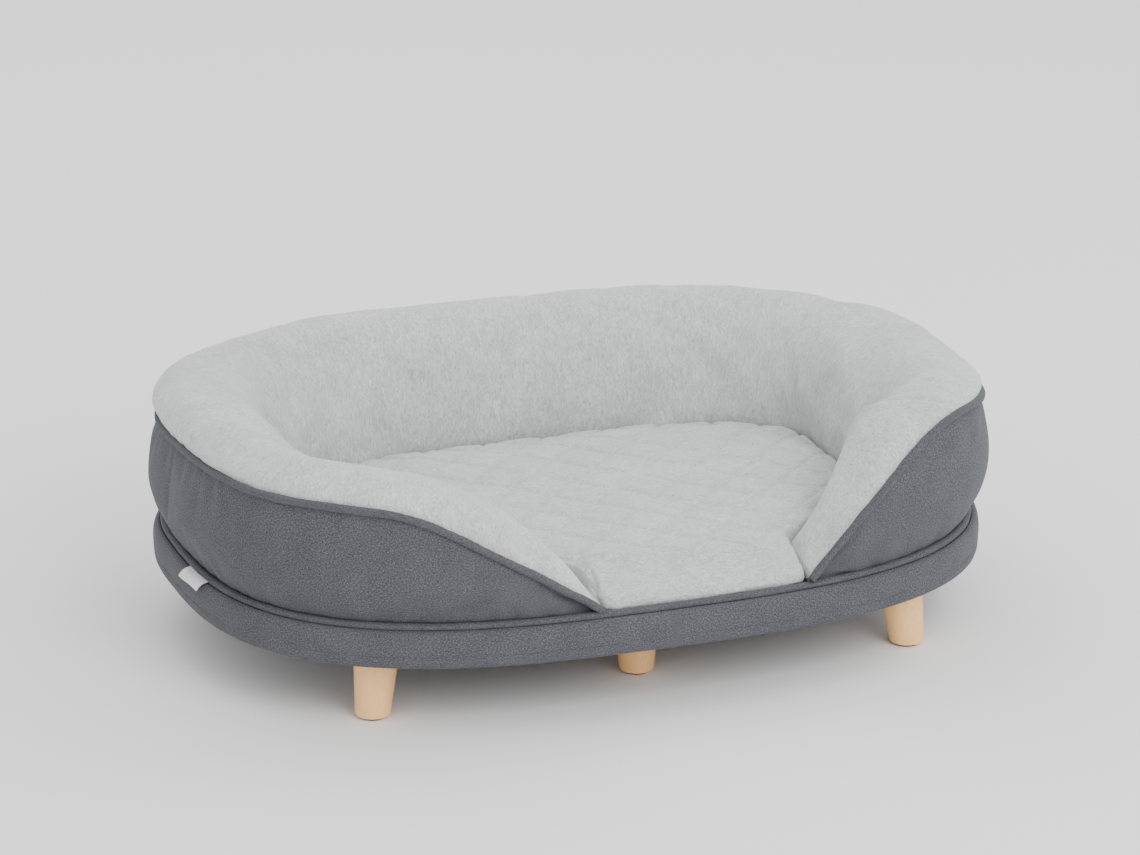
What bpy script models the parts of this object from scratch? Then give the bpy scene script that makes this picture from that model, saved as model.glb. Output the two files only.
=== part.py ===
"""Dog bed with frame: an upholstered oval base on six turned legs, a U-shaped
bolster with a low front opening, and a lift-out quilted seat cushion.

Metres, +Z up, front towards -Y. The origin is on the floor under the middle of
the bed. Every visible object is one physical piece and one closed body.
"""
import bpy
import bmesh
import math
import numpy as np

# ---------------------------------------------------------------- driving dimensions
HALF_LENGTH = 0.5146        # half of the base, left to right
FRONT_DEPTH = 0.3996        # widest line to the front edge
BACK_DEPTH = 0.3250         # widest line to the back edge
WIDEST_Y = (FRONT_DEPTH - BACK_DEPTH) / 2     # puts the origin in the middle
ROUNDNESS = 2.8             # 2 is an ellipse, larger is squarer
OUTLINE_POINTS = 56

LEG_HEIGHT = 0.0846         # floor to the underside of the base
BASE_BOTTOM = 0.0840
BASE_TOP = 0.1325           # top of the deck inside the welt
SKIRT_TOP = 0.1315          # where the skirt meets the welt
COVER = 0.0016              # thickness of the upholstery cloth
GAP = 0.0003                # clearance between neighbouring pieces

PANEL_BOTTOM, PANEL_TOP = 0.0862, 0.0952      # 9 mm plywood under the base
RAIL_BOTTOM, RAIL_TOP = 0.0955, 0.1263        # rim and cross rails
DECK_BOTTOM, DECK_TOP = 0.1266, 0.1305        # 4 mm board on top of the rails
EDGE_FOAM = 0.0050          # padding round the rim
RIM_THICK = 0.0180
RAIL_WIDTH = 0.0600
WELT_RADIUS = 0.0048        # self-fabric piping
WELT_INSET, WELT_Z = 0.0136, 0.1335           # middle of the base's piping
NOTCH_HALF = 0.0051         # half width of the notch that the piping lies in
FLANGE = 0.0400             # how far the cover runs in over the deck
CORNER_SHARE = 0.145        # share of the outline from a middle to a joint in the rim
CORNER_RAIL_ENDS = (-0.2560, 0.2720)          # front and back ends of the cross rails
MIDDLE_RAIL_ENDS = (-0.3310, 0.3300)

# legs: floor centres of the front row and the back row
LEG_X, LEG_FRONT_Y, LEG_BACK_Y = 0.3500, -0.2467, 0.2467
LEG_SHIFT_X = 0.0050        # the legs stand a little to the right of the middle
MIDDLE_FRONT_Y, MIDDLE_BACK_Y = -0.2187, 0.2187
LEG_FOOT_R, LEG_TOP_R = 0.0215, 0.0285
LEG_SPLAY = math.radians(8)
GLIDE_R, GLIDE_THICK = 0.0150, 0.0027
LEG_SIDES, BOLT_SIDES, HOLE_SIDES, WELT_SIDES = 16, 8, 10, 6
BOLT_R, BOLT_FOOT, BOLT_HEAD = 0.0040, 0.0500, 0.1180
BOLT_POINT = 0.0010         # chamfer at both ends of the bolt
TEE_BARREL_R, TEE_FLANGE_R, TEE_BARREL_Z, TEE_FLANGE_THICK = 0.0052, 0.0110, 0.0870, 0.0013
PANEL_HOLE_R, CLOTH_HOLE_R, RAIL_HOLE_R, FLANGE_POCKET_R = 0.0056, 0.0046, 0.0055, 0.0120

# bolster: where the two arms end on the front edge, and how high it stands
LEFT_TIP_X, RIGHT_TIP_X = -0.0840, 0.1840
TIP_LEAN = 0.12             # the end faces of the arms open out towards the back by this slope
TIP_TURN = 0.22             # length of bolster over which the section turns to the end face
BOLSTER_FOOT = 0.1329
FLAT_HEIGHT, FULL_BULGE_HEIGHT = 0.03, 0.11   # a lower roll bulges less over its foot
# crest height against the distance from the left tip, then from the right tip
LEFT_CREST = ((0, .150), (.030, .186), (.055, .212), (.103, .248), (.127, .265), (.178, .286),
              (.218, .298), (.251, .305), (.300, .310), (.520, .316), (.760, .321))
RIGHT_CREST = ((0, .150), (.022, .170), (.046, .198), (.075, .229), (.098, .256), (.122, .278),
               (.158, .296), (.204, .306), (.300, .310), (.520, .304), (.760, .300))
# cross-section of the bolster: (inset from the base edge, share of the height)
OUTER_SIDE = ((.0212, .00), (.0198, .035), (.0090, .10), (-.0008, .21), (-.0058, .38), (-.0062, .55),
              (-.0035, .70), (.0040, .83))
INNER_SIDE = ((.0132, .915), (.0300, .965), (.0550, .995), (.0850, .985), (.1130, .90),
              (.1330, .74), (.1440, .52), (.1500, .28), (.1520, .00))
BOLSTER_STATIONS = 48
FILLING_SLACK = 0.0055      # from the filling to the outside of its covers
THIN_AT_TIPS = 0.030

# seat cushion
CUSHION_INSET = 0.1580      # from the base edge, clear of the bolster
CUSHION_FRONT_INSET = 0.0192
CUSHION_GAP = 0.0045        # to the ends of the arms
CUSHION_POINTS = 80
CUSHION_BOTTOM, CUSHION_TOP = 0.1329, 0.1640
CUSHION_STRAIGHT_BACK_Y = 0.2010
CUSHION_SHOULDER = 0.0060   # how far the cover rounds over at its top edge

# zip in the middle of the cushion's straight back edge
ZIP_HALF, ZIP_Z = 0.0850, 0.1475
TAPE_HALF, TAPE_THICK = 0.0060, 0.0006
COIL_HALF, COIL_THICK = 0.0012, 0.0019
SLIDER_LENGTH, SLIDER_HALF, SLIDER_THICK = 0.0100, 0.0040, 0.0022
PULL_LENGTH, PULL_HALF, PULL_THICK = 0.0170, 0.0026, 0.0008

# blank tag: middle along the left edge, and half its width
LABEL_Y, LABEL_HALF = -0.0520, 0.0300


# ---------------------------------------------------------------- helpers
def clear_scene():
    for obj in list(bpy.data.objects):
        bpy.data.objects.remove(obj, do_unlink=True)


def material(name, colour, rough=0.6, metal=0.0):
    mat = bpy.data.materials.new(name)
    mat.use_nodes = True
    bsdf = mat.node_tree.nodes["Principled BSDF"]
    bsdf.inputs["Base Color"].default_value = (*colour, 1)
    bsdf.inputs["Roughness"].default_value = rough
    bsdf.inputs["Metallic"].default_value = metal
    mat.diffuse_color = (*colour, 1)
    return mat


def add_object(name, verts, faces, colour, rough=0.6, metal=0.0, origin=(0, 0, 0)):
    """One closed body; its origin is put at the given point."""
    o = np.array(origin, float)
    mesh = bpy.data.meshes.new(name)
    mesh.from_pydata([tuple(np.array(v, float) - o) for v in verts], [], faces)
    bm = bmesh.new()
    bm.from_mesh(mesh)
    bmesh.ops.recalc_face_normals(bm, faces=bm.faces)
    bm.to_mesh(mesh)
    bm.free()
    mesh.update()
    obj = bpy.data.objects.new(name, mesh)
    obj.location = origin
    mesh.materials.append(material(name, colour, rough, metal))
    bpy.context.scene.collection.objects.link(obj)
    return obj


def ring_faces(rings, closed_rings=True, closed_loop=False):
    """Quads between successive rings of equal length, with end caps if open."""
    count, size = len(rings), len(rings[0])
    verts = [p for ring in rings for p in ring]
    faces = []
    for i in range(count if closed_loop else count - 1):
        a, b = i * size, ((i + 1) % count) * size
        for j in range(size if closed_rings else size - 1):
            k = (j + 1) % size
            faces.append((a + j, a + k, b + k, b + j))
    if not closed_loop:
        faces.append(tuple(reversed(range(size))))
        faces.append(tuple(range((count - 1) * size, count * size)))
    return verts, faces


def outline(inset=0.0, count=OUTLINE_POINTS):
    """Points of the base outline moved inwards, evenly spaced, from the front middle
    round by the left, the back and the right."""
    angle = np.linspace(0, 2 * math.pi, 4001)[:-1]
    c, s = -np.sin(angle), -np.cos(angle)
    x = HALF_LENGTH * np.sign(c) * np.abs(c) ** (2 / ROUNDNESS)
    depth = np.where(s < 0, FRONT_DEPTH, BACK_DEPTH)
    y = depth * np.sign(s) * np.abs(s) ** (2 / ROUNDNESS)
    path = np.stack([x, y], 1)
    step = np.linalg.norm(np.roll(path, -1, 0) - path, axis=1)
    dist = np.concatenate([[0], np.cumsum(step)])
    closed = np.vstack([path, path[:1]])
    want = np.linspace(0, dist[-1], count, endpoint=False)
    pts = np.stack([np.interp(want, dist, closed[:, k]) for k in (0, 1)], 1)
    tangent = np.roll(pts, -1, 0) - np.roll(pts, 1, 0)
    tangent /= np.linalg.norm(tangent, axis=1)[:, None]
    inward = np.stack([tangent[:, 1], -tangent[:, 0]], 1)
    pts = pts + inward * inset
    pts[:, 1] += WIDEST_Y
    return pts


def loop_at(inset, z, count=OUTLINE_POINTS):
    return [(x, y, z) for x, y in outline(inset, count)]


def plate(name, loop, bottom, top, colour, rough=0.6, holes=()):
    """A flat sheet or board with the given outline, and round holes through it."""
    rings = [[(x, y, bottom) for x, y in loop], [(x, y, top) for x, y in loop]]
    obj = add_object(name, *ring_faces(rings), colour, rough)
    drill(obj, holes)
    return obj


def edge_band(name, section, colour, rough=0.6):
    """A band all round the base from a closed section of (inset, z) points."""
    loops = [loop_at(inset, z) for inset, z in section]
    rings = [[loop[i] for loop in loops] for i in range(OUTLINE_POINTS)]
    return add_object(name, *ring_faces(rings, closed_loop=True), colour, rough)


def drill(obj, holes):
    """Cut round holes: (x, y, radius, bottom, top)."""
    for x, y, radius, bottom, top in holes:
        bpy.ops.mesh.primitive_cylinder_add(vertices=HOLE_SIDES, radius=radius, depth=top - bottom,
                                            location=(x, y, (top + bottom) / 2))
        cutter = bpy.context.active_object
        cutter.name = "cutter"
        bpy.context.view_layer.objects.active = obj
        cut = obj.modifiers.new("hole", "BOOLEAN")
        cut.operation, cut.solver, cut.object = "DIFFERENCE", "EXACT", cutter
        bpy.ops.object.modifier_apply(modifier=cut.name)
        bpy.data.objects.remove(cutter, do_unlink=True)


def box(name, low, high, colour, rough=0.6, metal=0.0):
    (x0, y0, z0), (x1, y1, z1) = low, high
    rings = [[(x0, y0, z), (x1, y0, z), (x1, y1, z), (x0, y1, z)] for z in (z0, z1)]
    return add_object(name, *ring_faces(rings), colour, rough, metal)


# ---------------------------------------------------------------- colours
HEATHER = (0.118, 0.124, 0.146)
PLUSH = (0.56, 0.58, 0.57)
PLY = (0.58, 0.43, 0.27)
BEECH = (0.62, 0.44, 0.27)
STEEL = (0.45, 0.46, 0.48)
FOAM = (0.80, 0.77, 0.62)
FIBRE = (0.86, 0.86, 0.84)
BLACK = (0.02, 0.02, 0.022)

# ---------------------------------------------------------------- leg positions
LEGS = []
for row, corner_y, middle_y in (("front", LEG_FRONT_Y, MIDDLE_FRONT_Y),
                                ("back", LEG_BACK_Y, MIDDLE_BACK_Y)):
    for side, x, y, splay in (("left", LEG_SHIFT_X - LEG_X, corner_y, LEG_SPLAY),
                              ("middle", LEG_SHIFT_X, middle_y, 0.0),
                              ("right", LEG_SHIFT_X + LEG_X, corner_y, LEG_SPLAY)):
        lean = LEG_HEIGHT * math.tan(splay) / math.sqrt(2)
        top_x = x - math.copysign(lean, x) if splay else x
        top_y = y - math.copysign(lean, y) if splay else y
        LEGS.append((f"{row}_{side}", (x, y), (top_x, top_y)))
BOLT_POINTS = [top for _, _, top in LEGS]


# ---------------------------------------------------------------- base
def make_base():
    inner = COVER + GAP + EDGE_FOAM + GAP
    notch_in, notch_out = WELT_INSET + NOTCH_HALF, WELT_INSET - NOTCH_HALF
    notch_floor = WELT_Z - WELT_RADIUS - GAP
    # cloth round the rim: bottom flange, padded side, notch under the welt, top flange
    edge_band("base_cover", [
        (.0300, BASE_BOTTOM), (.0030, BASE_BOTTOM), (.0000, BASE_BOTTOM + .004), (.0000, .1240),
        (.0030, .1295), (notch_out, SKIRT_TOP), (notch_out, notch_floor), (notch_in, notch_floor),
        (notch_in, BASE_TOP), (FLANGE, BASE_TOP), (FLANGE, BASE_TOP - COVER),
        (notch_in + COVER, BASE_TOP - COVER),
        (notch_in + COVER, notch_floor - COVER), (notch_out - COVER / 2, notch_floor - COVER),
        (.0040, .1272), (COVER, .1234), (COVER, BASE_BOTTOM + .005), (.0040, BASE_BOTTOM + COVER),
        (.0300, BASE_BOTTOM + COVER)], HEATHER, 0.9)
    tube = [(WELT_INSET + WELT_RADIUS * math.cos(a), WELT_Z + WELT_RADIUS * math.sin(a))
            for a in np.linspace(0, 2 * math.pi, WELT_SIDES, endpoint=False)]
    edge_band("base_welt", tube, HEATHER, 0.9)
    foam_out, foam_in, foam_low, foam_high = COVER + GAP, inner - GAP, .0905, .1230
    edge_band("edge_foam", [(foam_out, foam_low), (foam_out, foam_high), (foam_in, foam_high),
                            (foam_in, foam_low)], FOAM, 0.9)

    through = [(x, y, PANEL_HOLE_R, PANEL_BOTTOM - .01, PANEL_TOP + .01) for x, y in BOLT_POINTS]
    plate("bottom_panel", outline(inner), PANEL_BOTTOM, PANEL_TOP, PLY, 0.7, through)
    plate("deck_board", outline(notch_in + COVER + 2 * GAP), DECK_BOTTOM, DECK_TOP, PLY, 0.7)
    plate("deck_cloth", outline(FLANGE + 2 * GAP), DECK_TOP + GAP, BASE_TOP - GAP, BLACK, 0.95)
    slits = [(x, y, CLOTH_HOLE_R, BASE_BOTTOM - .01, PANEL_BOTTOM + .01) for x, y in BOLT_POINTS]
    plate("dust_cloth", outline(.0305), .0849, .0858, BLACK, 0.95, slits)

    # four curved rim rails, butted with a hair gap at the corners
    outer_pts, inner_pts = outline(inner), outline(inner + RIM_THICK)
    n = OUTLINE_POINTS
    corner = int(round(n * CORNER_SHARE))
    spans = {"rim_front": (n - corner, n + corner), "rim_left": (corner, n // 2 - corner),
             "rim_back": (n // 2 - corner, n // 2 + corner), "rim_right": (n // 2 + corner, n - corner)}
    for name, (first, last) in spans.items():
        rings = []
        for i in range(first, last + 1):
            o, q = outer_pts[i % n].copy(), inner_pts[i % n].copy()
            if i in (first, last):      # pull the sawn end back from its neighbour
                j = i + 1 if i == first else i - 1
                for p, pts in ((o, outer_pts), (q, inner_pts)):
                    along = pts[j % n] - p
                    p += along / np.linalg.norm(along) * GAP
            rings.append([(o[0], o[1], RAIL_BOTTOM), (o[0], o[1], RAIL_TOP),
                          (q[0], q[1], RAIL_TOP), (q[0], q[1], RAIL_BOTTOM)])
        add_object(name, *ring_faces(rings), PLY, 0.7)

    # cross rails over each front-to-back pair of legs, bored for the bolts and tee nuts
    for side, leg, (front, back) in (("left", 0, CORNER_RAIL_ENDS), ("middle", 1, MIDDLE_RAIL_ENDS),
                                     ("right", 2, CORNER_RAIL_ENDS)):
        cx = BOLT_POINTS[leg][0]
        rail = box(f"cross_rail_{side}", (cx - RAIL_WIDTH / 2, front, RAIL_BOTTOM),
                   (cx + RAIL_WIDTH / 2, back, RAIL_TOP), BEECH)
        holes = []
        for bx, by in BOLT_POINTS:
            if abs(bx - cx) < .01:
                holes.append((bx, by, RAIL_HOLE_R, RAIL_BOTTOM - .01, BOLT_HEAD + .003))
                holes.append((bx, by, FLANGE_POCKET_R, RAIL_BOTTOM - .01, RAIL_BOTTOM + .0025))
        drill(rail, holes)


def make_legs():
    def circle(x, y, r, z, sides=LEG_SIDES):
        return [(x + r * math.cos(a), y + r * math.sin(a), z)
                for a in np.linspace(0, 2 * math.pi, sides, endpoint=False)]

    for name, foot, top in LEGS:
        rings = []
        base_z = GLIDE_THICK + GAP
        for r, z in ((LEG_FOOT_R - .0030, base_z), (LEG_FOOT_R - .0008, base_z + .0010),
                     (LEG_FOOT_R, base_z + .0030), (LEG_TOP_R, LEG_HEIGHT)):
            t = z / LEG_HEIGHT
            rings.append(circle(foot[0] + (top[0] - foot[0]) * t, foot[1] + (top[1] - foot[1]) * t, r, z))
        rings.append(circle(*top, BOLT_R + .0004, LEG_HEIGHT))
        rings.append(circle(*top, BOLT_R + .0004, BOLT_FOOT - .002))
        add_object(f"leg_{name}", *ring_faces(rings), BEECH, 0.5)

        rings = [circle(*foot, GLIDE_R, z) for z in (0, GLIDE_THICK)]
        add_object(f"glide_{name}", *ring_faces(rings), BLACK, 0.7)

    for name, foot, top in LEGS:
        rings = [circle(*top, r, z, BOLT_SIDES) for r, z in (
            (BOLT_R - BOLT_POINT, BOLT_FOOT), (BOLT_R, BOLT_FOOT + 2 * BOLT_POINT),
            (BOLT_R, BOLT_HEAD - BOLT_POINT), (BOLT_R - BOLT_POINT, BOLT_HEAD))]
        add_object(f"hanger_bolt_{name}", *ring_faces(rings), STEEL, 0.35, 1.0)
        bore, flange = BOLT_R + GAP, PANEL_TOP + GAP
        rings = [circle(*top, r, z, BOLT_SIDES) for r, z in (
            (bore, TEE_BARREL_Z), (TEE_BARREL_R, TEE_BARREL_Z), (TEE_BARREL_R, flange), (TEE_FLANGE_R, flange),
            (TEE_FLANGE_R, flange + TEE_FLANGE_THICK), (bore, flange + TEE_FLANGE_THICK))]
        add_object(f"tee_nut_{name}", *ring_faces(rings, closed_loop=True), STEEL, 0.35, 1.0)


# ---------------------------------------------------------------- bolster
def bolster_path():
    """Stations from the left tip round the back to the right tip, with the inward
    direction and the crest height at each."""
    fine = outline(0, 1600)
    n = len(fine)
    tangent = np.roll(fine, -1, 0) - np.roll(fine, 1, 0)
    tangent /= np.linalg.norm(tangent, axis=1)[:, None]
    inward = np.stack([tangent[:, 1], -tangent[:, 0]], 1)
    front = fine[:, 1] < 0
    first = next(i for i in range(n) if front[i] and fine[i, 0] <= LEFT_TIP_X)
    last = next(i for i in range(n - 1, 0, -1) if front[i] and fine[i, 0] >= RIGHT_TIP_X)
    pts, inward = fine[first:last + 1], inward[first:last + 1]
    dist = np.concatenate([[0], np.cumsum(np.linalg.norm(np.diff(pts, axis=0), axis=1))])
    total = dist[-1]
    left_d, left_z = zip(*LEFT_CREST)
    right_d, right_z = zip(*RIGHT_CREST)
    far = list(left_d) + [total - d for d in reversed(right_d)]
    high = list(left_z) + list(reversed(right_z))
    # stations closer together on the two slopes
    want = np.concatenate([np.linspace(0, .30, 15)[:-1],
                           np.linspace(.30, total - .21, BOLSTER_STATIONS - 26)[:-1],
                           np.linspace(total - .21, total, 13)])
    xy = np.stack([np.interp(want, dist, pts[:, k]) for k in (0, 1)], 1)
    inn = np.stack([np.interp(want, dist, inward[:, k]) for k in (0, 1)], 1)
    for from_tip, side in ((want, -1), (total - want, 1)):
        blend = np.clip(1 - from_tip / TIP_TURN, 0, 1)[:, None]
        blend = blend * blend * (3 - 2 * blend)
        inn = inn * (1 - blend) + np.array([side * TIP_LEAN, 1.0]) * blend
    inn /= np.linalg.norm(inn, axis=1)[:, None]
    crest = np.interp(want, far, high)
    smooth = crest.copy()
    smooth[1:-1] = (crest[:-2] + 2 * crest[1:-1] + crest[2:]) / 4
    return xy, inn, smooth


def section_at(crest, amount=0.0, floor=BOLSTER_FOOT):
    """The bolster's cross-section under the given crest, as (inset, z) points moved
    into the filling by the given amount and kept above a floor height."""
    height = crest - BOLSTER_FOOT
    bulge = min(max((height - FLAT_HEIGHT) / (FULL_BULGE_HEIGHT - FLAT_HEIGHT), 0.0), 1.0)
    foot = OUTER_SIDE[0][0]
    outer = [(foot + (d - foot) * bulge, t) for d, t in OUTER_SIDE]
    pts = np.array([(d, BOLSTER_FOOT + t * height) for d, t in outer + list(INNER_SIDE)])
    tangent = np.gradient(pts, axis=0)
    tangent /= np.linalg.norm(tangent, axis=1)[:, None]
    pts = pts + np.stack([tangent[:, 1], -tangent[:, 0]], 1) * amount
    pts[:, 1] = np.maximum(pts[:, 1], floor)
    pts[0, 1] = pts[-1, 1] = floor
    return pts


def along(station, pts):
    """Section points placed at a station of the bolster."""
    xy, inward, _ = station
    return [(xy[0] + inward[0] * d, xy[1] + inward[1] * d, z) for d, z in pts]


def make_bolster():
    path = list(zip(*bolster_path()))
    split = len(OUTER_SIDE)

    def cloth(name, part, colour):
        rings = []
        for station in path:
            # the cloth thins out towards the tips, where the two covers meet
            thick = min(COVER, THIN_AT_TIPS * (station[2] - BOLSTER_FOOT))
            outside, inside = section_at(station[2])[part], section_at(station[2], thick)[part]
            rings.append(along(station, list(outside) + list(inside[::-1])))
        add_object(name, *ring_faces(rings), colour, 0.95)

    cloth("bolster_outer_cover", slice(0, split), HEATHER)
    cloth("bolster_plush_lining", slice(split, None), PLUSH)

    # the roll of filling stops where the arms become too thin for it
    core = [s for s in path if s[2] > BOLSTER_FOOT + .060]
    filling = []
    for station in core:
        pts = section_at(station[2])
        middle, size = (pts.max(axis=0) + pts.min(axis=0)) / 2, pts.max(axis=0) - pts.min(axis=0)
        filling.append(along(station, middle + (pts - middle) * (1 - 2 * FILLING_SLACK / size)))
    add_object("bolster_filling", *ring_faces(filling), FIBRE, 0.95)

    low, high = OUTER_SIDE[0][0] + COVER + .0008, INNER_SIDE[-1][0] - COVER - .0008
    top = BOLSTER_FOOT + .0010
    sheet = [(low, BOLSTER_FOOT), (low, top), (high, top), (high, BOLSTER_FOOT)]
    add_object("bolster_base_cloth", *ring_faces([along(s, sheet) for s in path[1:-1]]), BLACK, 0.95)

    # piping over the seam between the outer cover and the plush
    rings = []
    for station in path:
        pts = section_at(station[2])
        a, b = pts[split - 1], pts[split]
        run = (b - a) / np.linalg.norm(b - a)
        out = np.array([-run[1], run[0]])
        radius = min(WELT_RADIUS, .25 * (station[2] - BOLSTER_FOOT))
        centre = (a + b) / 2 + out * (radius + 4 * GAP)
        rings.append(along(station, [centre + radius * (run * math.cos(t) + out * math.sin(t))
                                     for t in np.linspace(0, 2 * math.pi, WELT_SIDES, endpoint=False)]))
    add_object("bolster_welt", *ring_faces(rings), HEATHER, 0.9)


# ---------------------------------------------------------------- cushion
def cushion_outline(inset=0.0):
    """Plan of the seat cushion, moved inwards: it fills the bolster, and a tongue
    runs out between the arms to the front edge."""
    left, right = LEFT_TIP_X + CUSHION_GAP, RIGHT_TIP_X - CUSHION_GAP
    spread = TIP_LEAN * CUSHION_INSET
    front = [p for p in outline(CUSHION_FRONT_INSET, 800) if p[1] < 0 and left < p[0] < right]
    half = sum(1 for p in front if p[0] <= 0)
    tongue = front[half:] + front[:half]
    inner = list(outline(CUSHION_INSET, 800))
    body = [p for p in inner if not (p[1] < 0 and left - spread < p[0] < right + spread)]
    path = np.array(tongue + body)
    path[:, 1] = np.minimum(path[:, 1], CUSHION_STRAIGHT_BACK_Y)
    # even small steps, rounded corners, then points gathered where it turns
    path = resample(path, np.linspace(0, 1, 900, endpoint=False))
    for _ in range(40):
        path = (np.roll(path, 1, 0) + 2 * path + np.roll(path, -1, 0)) / 4
    step = np.roll(path, -1, 0) - path
    heading = np.unwrap(np.arctan2(step[:, 1], step[:, 0]))
    turn = np.abs(np.diff(heading, append=heading[-1]))
    weight = np.cumsum(np.linalg.norm(step, axis=1) + .035 * turn)
    want = np.linspace(0, weight[-1], CUSHION_POINTS, endpoint=False)
    share = np.interp(want, weight, np.arange(900) / 900)
    pts = resample(path, share)
    tangent = np.roll(pts, -1, 0) - np.roll(pts, 1, 0)
    tangent /= np.linalg.norm(tangent, axis=1)[:, None]
    pts = pts + np.stack([tangent[:, 1], -tangent[:, 0]], 1) * inset
    pts[:, 1] = np.minimum(pts[:, 1], CUSHION_STRAIGHT_BACK_Y - inset)
    return pts


def resample(path, share):
    """Points at the given shares of the way round a closed path."""
    closed = np.vstack([path, path[:1]])
    dist = np.concatenate([[0], np.cumsum(np.linalg.norm(np.diff(closed, axis=0), axis=1))])
    want = np.asarray(share) * dist[-1]
    return np.stack([np.interp(want, dist, closed[:, k]) for k in (0, 1)], 1)


def cushion_ring(inset, z):
    return [(x, y, z) for x, y in cushion_outline(inset)]


def make_cushion():
    low, high, shoulder = CUSHION_BOTTOM + .0012, CUSHION_TOP, CUSHION_SHOULDER
    plate("cushion_base_cloth", cushion_outline(.0002), CUSHION_BOTTOM, CUSHION_BOTTOM + .0008, BLACK, 0.95)
    slack = COVER + 2 * GAP
    foam = [cushion_ring(slack, low), cushion_ring(slack, high - shoulder - slack),
            cushion_ring(shoulder + slack, high - slack)]
    add_object("cushion_foam", *ring_faces(foam), FOAM, 0.95)
    # cover: top, shoulder and sides, open underneath
    cover = [cushion_ring(shoulder + COVER / 2, high - COVER), cushion_ring(COVER, high - shoulder - COVER / 2),
             cushion_ring(COVER, low), cushion_ring(0, low), cushion_ring(0, high - shoulder),
             cushion_ring(shoulder, high)]
    add_object("cushion_top_cover", *ring_faces(cover), PLUSH, 0.95)

    # zip along the straight back edge, with its slider parked at the left end
    tape = CUSHION_STRAIGHT_BACK_Y + GAP
    coil, coil_out = tape + TAPE_THICK, tape + COIL_THICK
    profile = [(tape, -TAPE_HALF), (coil, -TAPE_HALF), (coil, -COIL_HALF), (coil_out, -COIL_HALF)]
    section = profile + [(y, -z) for y, z in reversed(profile)]
    rings = [[(x, y, ZIP_Z + z) for y, z in section] for x in (-ZIP_HALF, ZIP_HALF)]
    add_object("zip_chain", *ring_faces(rings), BLACK, 0.6)
    start = -ZIP_HALF + SLIDER_LENGTH + .002
    low, high, cheek = coil + GAP, coil + GAP + SLIDER_THICK, coil_out + GAP
    inside = COIL_HALF + .0004
    profile = [(high, -SLIDER_HALF), (low, -SLIDER_HALF), (low, -inside), (cheek, -inside)]
    section = profile + [(y, -z) for y, z in reversed(profile)]
    ends = (start - SLIDER_LENGTH / 2, start + SLIDER_LENGTH / 2)
    rings = [[(x, y, ZIP_Z + z) for y, z in section] for x in ends]
    add_object("zip_slider", *ring_faces(rings), STEEL, 0.35, 1.0, origin=(start, high, ZIP_Z))
    box("zip_pull", (start + .001, high + GAP, ZIP_Z - PULL_HALF),
        (start + .001 + PULL_LENGTH, high + GAP + PULL_THICK, ZIP_Z + PULL_HALF), STEEL, 0.35, 1.0)


def make_label():
    """A blank tag sewn in beside the welt at the left, lying out over the edge of the base."""
    fine = outline(0, 1600)
    i = next(k for k, p in enumerate(fine) if p[0] < 0 and p[1] > LABEL_Y)
    along_edge = fine[i + 1] - fine[i - 1]
    along_edge /= np.linalg.norm(along_edge)
    out = np.array([-along_edge[1], along_edge[0]])
    # lower line, then back along the upper line, as (distance outwards, z)
    profile = [(-.0080, .1322), (-.0020, .1306), (.0030, .1280), (.0076, .1236),
               (.0084, .1242), (.0036, .1290), (-.0014, .1318), (-.0078, .1334)]
    rings = [[(*(fine[i] + along_edge * s + out * d), z) for d, z in profile] for s in (-LABEL_HALF, LABEL_HALF)]
    add_object("side_label", *ring_faces(rings), (0.82, 0.82, 0.80), 0.8)


clear_scene()
make_base()
make_legs()
make_bolster()
make_cushion()
make_label()
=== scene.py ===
import bpy
import math
import numpy as np
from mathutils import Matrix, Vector, noise


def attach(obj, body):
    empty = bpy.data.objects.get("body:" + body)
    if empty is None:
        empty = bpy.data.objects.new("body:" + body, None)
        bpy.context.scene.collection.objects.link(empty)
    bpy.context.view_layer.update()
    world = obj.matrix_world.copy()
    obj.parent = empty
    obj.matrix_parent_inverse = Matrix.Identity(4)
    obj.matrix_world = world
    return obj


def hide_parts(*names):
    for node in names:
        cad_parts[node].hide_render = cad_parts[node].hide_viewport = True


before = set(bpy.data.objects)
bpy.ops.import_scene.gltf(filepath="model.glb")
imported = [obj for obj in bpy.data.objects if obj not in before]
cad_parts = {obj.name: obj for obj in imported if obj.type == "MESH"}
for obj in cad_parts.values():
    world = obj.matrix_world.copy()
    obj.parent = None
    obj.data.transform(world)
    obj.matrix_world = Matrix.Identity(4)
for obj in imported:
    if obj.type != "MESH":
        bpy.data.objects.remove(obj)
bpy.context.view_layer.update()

bpy.ops.object.select_all(action="DESELECT")

plan = {
    "halfLength": 0.5146,
    "frontDepth": 0.3996,
    "backDepth": 0.3250,
    "roundness": 2.8,      # 2 is an ellipse, larger is squarer
    "leftTip": -0.0840,    # where the arms end on the front edge
    "rightTip": 0.1840,
    "tipLean": 0.12,       # how far the end faces open out towards the back
    "tipTurn": 0.22,       # length of arm that turns towards its end face
}


def smoothStep(x):
    x = np.clip(x, 0, 1)
    return x * x * (3 - 2 * x)


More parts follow.
